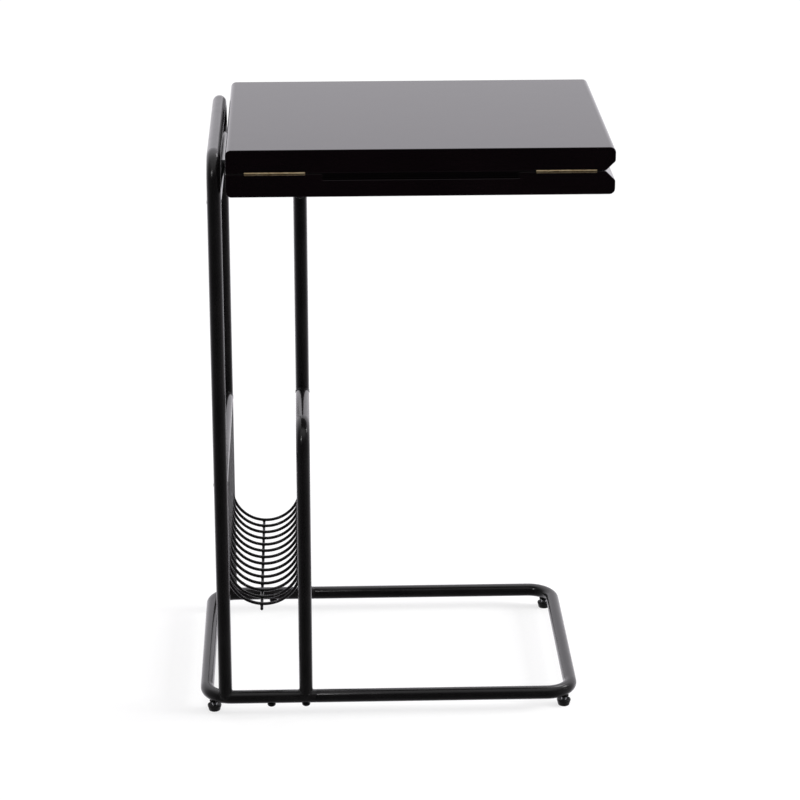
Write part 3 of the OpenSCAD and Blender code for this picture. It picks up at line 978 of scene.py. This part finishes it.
def floor():
    """A pale, glowing floor that fades out, so that little but the soft shadows shows."""
    bm = bmesh.new()
    bmesh.ops.create_circle(bm, cap_ends=True, segments=96, radius=FLOOR_R)
    obj = new_object("floor", bm, smooth=False)
    n = Nodes("pale_floor")
    n.set(Base_Color=(FLOOR_GREY, FLOOR_GREY, FLOOR_GREY, 1), Roughness=0.9, IOR=1.1)
    n.set(Emission_Color=(1, 1, 1, 1), Emission_Strength=FLOOR_GLOW)
    spread = n.tree.nodes.new("ShaderNodeVectorMath")
    spread.operation = "LENGTH"
    n.tree.links.new(n.coords, spread.inputs[0])
    n.link(n.remap(spread.outputs["Value"], *FLOOR_FADE, 1.0, 0.0), "Alpha")
    obj.data.materials.append(n.material)
    obj.visible_glossy = False


def world():
    """A white studio behind the table, dark in front and lit from above. The camera sees plain white."""
    made = bpy.data.worlds.new("studio")
    bpy.context.scene.world = made
    made.use_nodes = True
    tree = made.node_tree
    tree.nodes.clear()
    new, link = tree.nodes.new, tree.links.new
    coords = new("ShaderNodeTexCoord")
    axes = new("ShaderNodeSeparateXYZ")
    link(coords.outputs["Generated"], axes.inputs[0])
    ramp = new("ShaderNodeValToRGB")
    set_stops(ramp, [(spot, [value * part for part in STUDIO_TINT]) for spot, value in STUDIO_STOPS])
    to_unit = new("ShaderNodeMapRange")
    set_range(to_unit, -1, 1, 0, 1)
    link(axes.outputs["Y"], to_unit.inputs["Value"])
    link(to_unit.outputs["Result"], ramp.inputs["Fac"])
    above = new("ShaderNodeMapRange")
    above.interpolation_type = "SMOOTHSTEP"
    set_range(above, *CEILING)
    link(axes.outputs["Z"], above.inputs["Value"])
    total = new("ShaderNodeVectorMath")
    link(ramp.outputs["Color"], total.inputs[0])
    link(above.outputs["Result"], total.inputs[1])
    seen = new("ShaderNodeBackground")
    seen.inputs["Color"].default_value = (1, 1, 1, 1)
    seen.inputs["Strength"].default_value = SEEN_STRENGTH
    lit = new("ShaderNodeBackground")
    link(total.outputs["Vector"], lit.inputs["Color"])
    lit.inputs["Strength"].default_value = STUDIO_STRENGTH
    rays = new("ShaderNodeLightPath")
    mix = new("ShaderNodeMixShader")
    link(rays.outputs["Is Camera Ray"], mix.inputs["Fac"])
    link(lit.outputs["Background"], mix.inputs[1])
    link(seen.outputs["Background"], mix.inputs[2])
    out = new("ShaderNodeOutputWorld")
    link(mix.outputs["Shader"], out.inputs["Surface"])


def area_light(name, place, target, size, power, glossy):
    """A rectangular light that the camera doesn't see, turned towards a target."""
    data = bpy.data.lights.new(name, "AREA")
    data.shape = "RECTANGLE"
    data.size, data.size_y = size
    data.energy = power
    obj = bpy.data.objects.new(name, data)
    bpy.context.scene.collection.objects.link(obj)
    obj.location = place
    obj.rotation_mode = "QUATERNION"
    obj.rotation_quaternion = (Vector(target) - Vector(place)).to_track_quat("-Z", "Y")
    obj.visible_camera = False
    obj.visible_glossy = glossy
    return obj


def lights():
    """A key from the right and a soft overhead without reflections, and three small lights with them."""
    area_light("key_from_right", (3.0, -0.15, 1.25), (0, 0, 0.0), (1.2, 1.3), 130, glossy=False)
    area_light("overhead", (0, 0.2, 3.2), (0, 0, 0), (3.0, 3.0), 30, glossy=False)
    area_light("strip_right", (2.2, 0.35, 2.1), (0, -0.1, 0.35), (0.3, 0.6), 6, glossy=True)
    area_light("strip_left", (-1.3, -1.8, 2.1), (-0.1, -0.1, 0.35), (0.3, 0.6), 6, glossy=True)
    area_light("back_right", (0.97, 1.06, 2.05), (0, 0, 0.0), (0.5, 0.5), 3.5, glossy=True)


def camera():
    """The camera at the photograph's own place, tilted down instead of shifted."""
    data = bpy.data.cameras.new("camera")
    data.lens = LENS
    data.sensor_width = 36
    data.clip_start, data.clip_end = 0.1, 50
    obj = bpy.data.objects.new("camera", data)
    bpy.context.scene.collection.objects.link(obj)
    obj.location = CAMERA_PLACE
    obj.rotation_euler = (math.radians(90 - CAMERA_DOWN), 0, math.radians(-CAMERA_RIGHT))
    bpy.context.scene.camera = obj


def build():
    """Everything, in the order in which it is made."""
    camera()
    world()
    lights()
    floor()
    dress_cad_nodes()
    board("lower_board_lacquered", "lower_board", "frame", seam_up=True)
    board("upper_board_lacquered", "upper_board", "leaf", seam_up=False)
    base_tube("base_left_half", "base_left_tube", SIDE_BARS[0])
    base_tube("base_right_half", "base_right_tube", SIDE_BARS[1], plug=60 * MM)
    frame_welds()
    rack_welds()
    rack_spine()
    for corner in FEET:
        foot(corner)
    foot_nuts()
    end_caps()
    base_bolts()
    for side in ("left", "right"):
        hinge_leaf(side, "fixed", 0)
        hinge_leaf(side, "moving", 1)
        hinge_pin(side)
    hinge_screws("fixed")
    hinge_screws("moving")
    board_screws()
    bpy.context.scene.view_settings.view_transform = "Standard"


build()
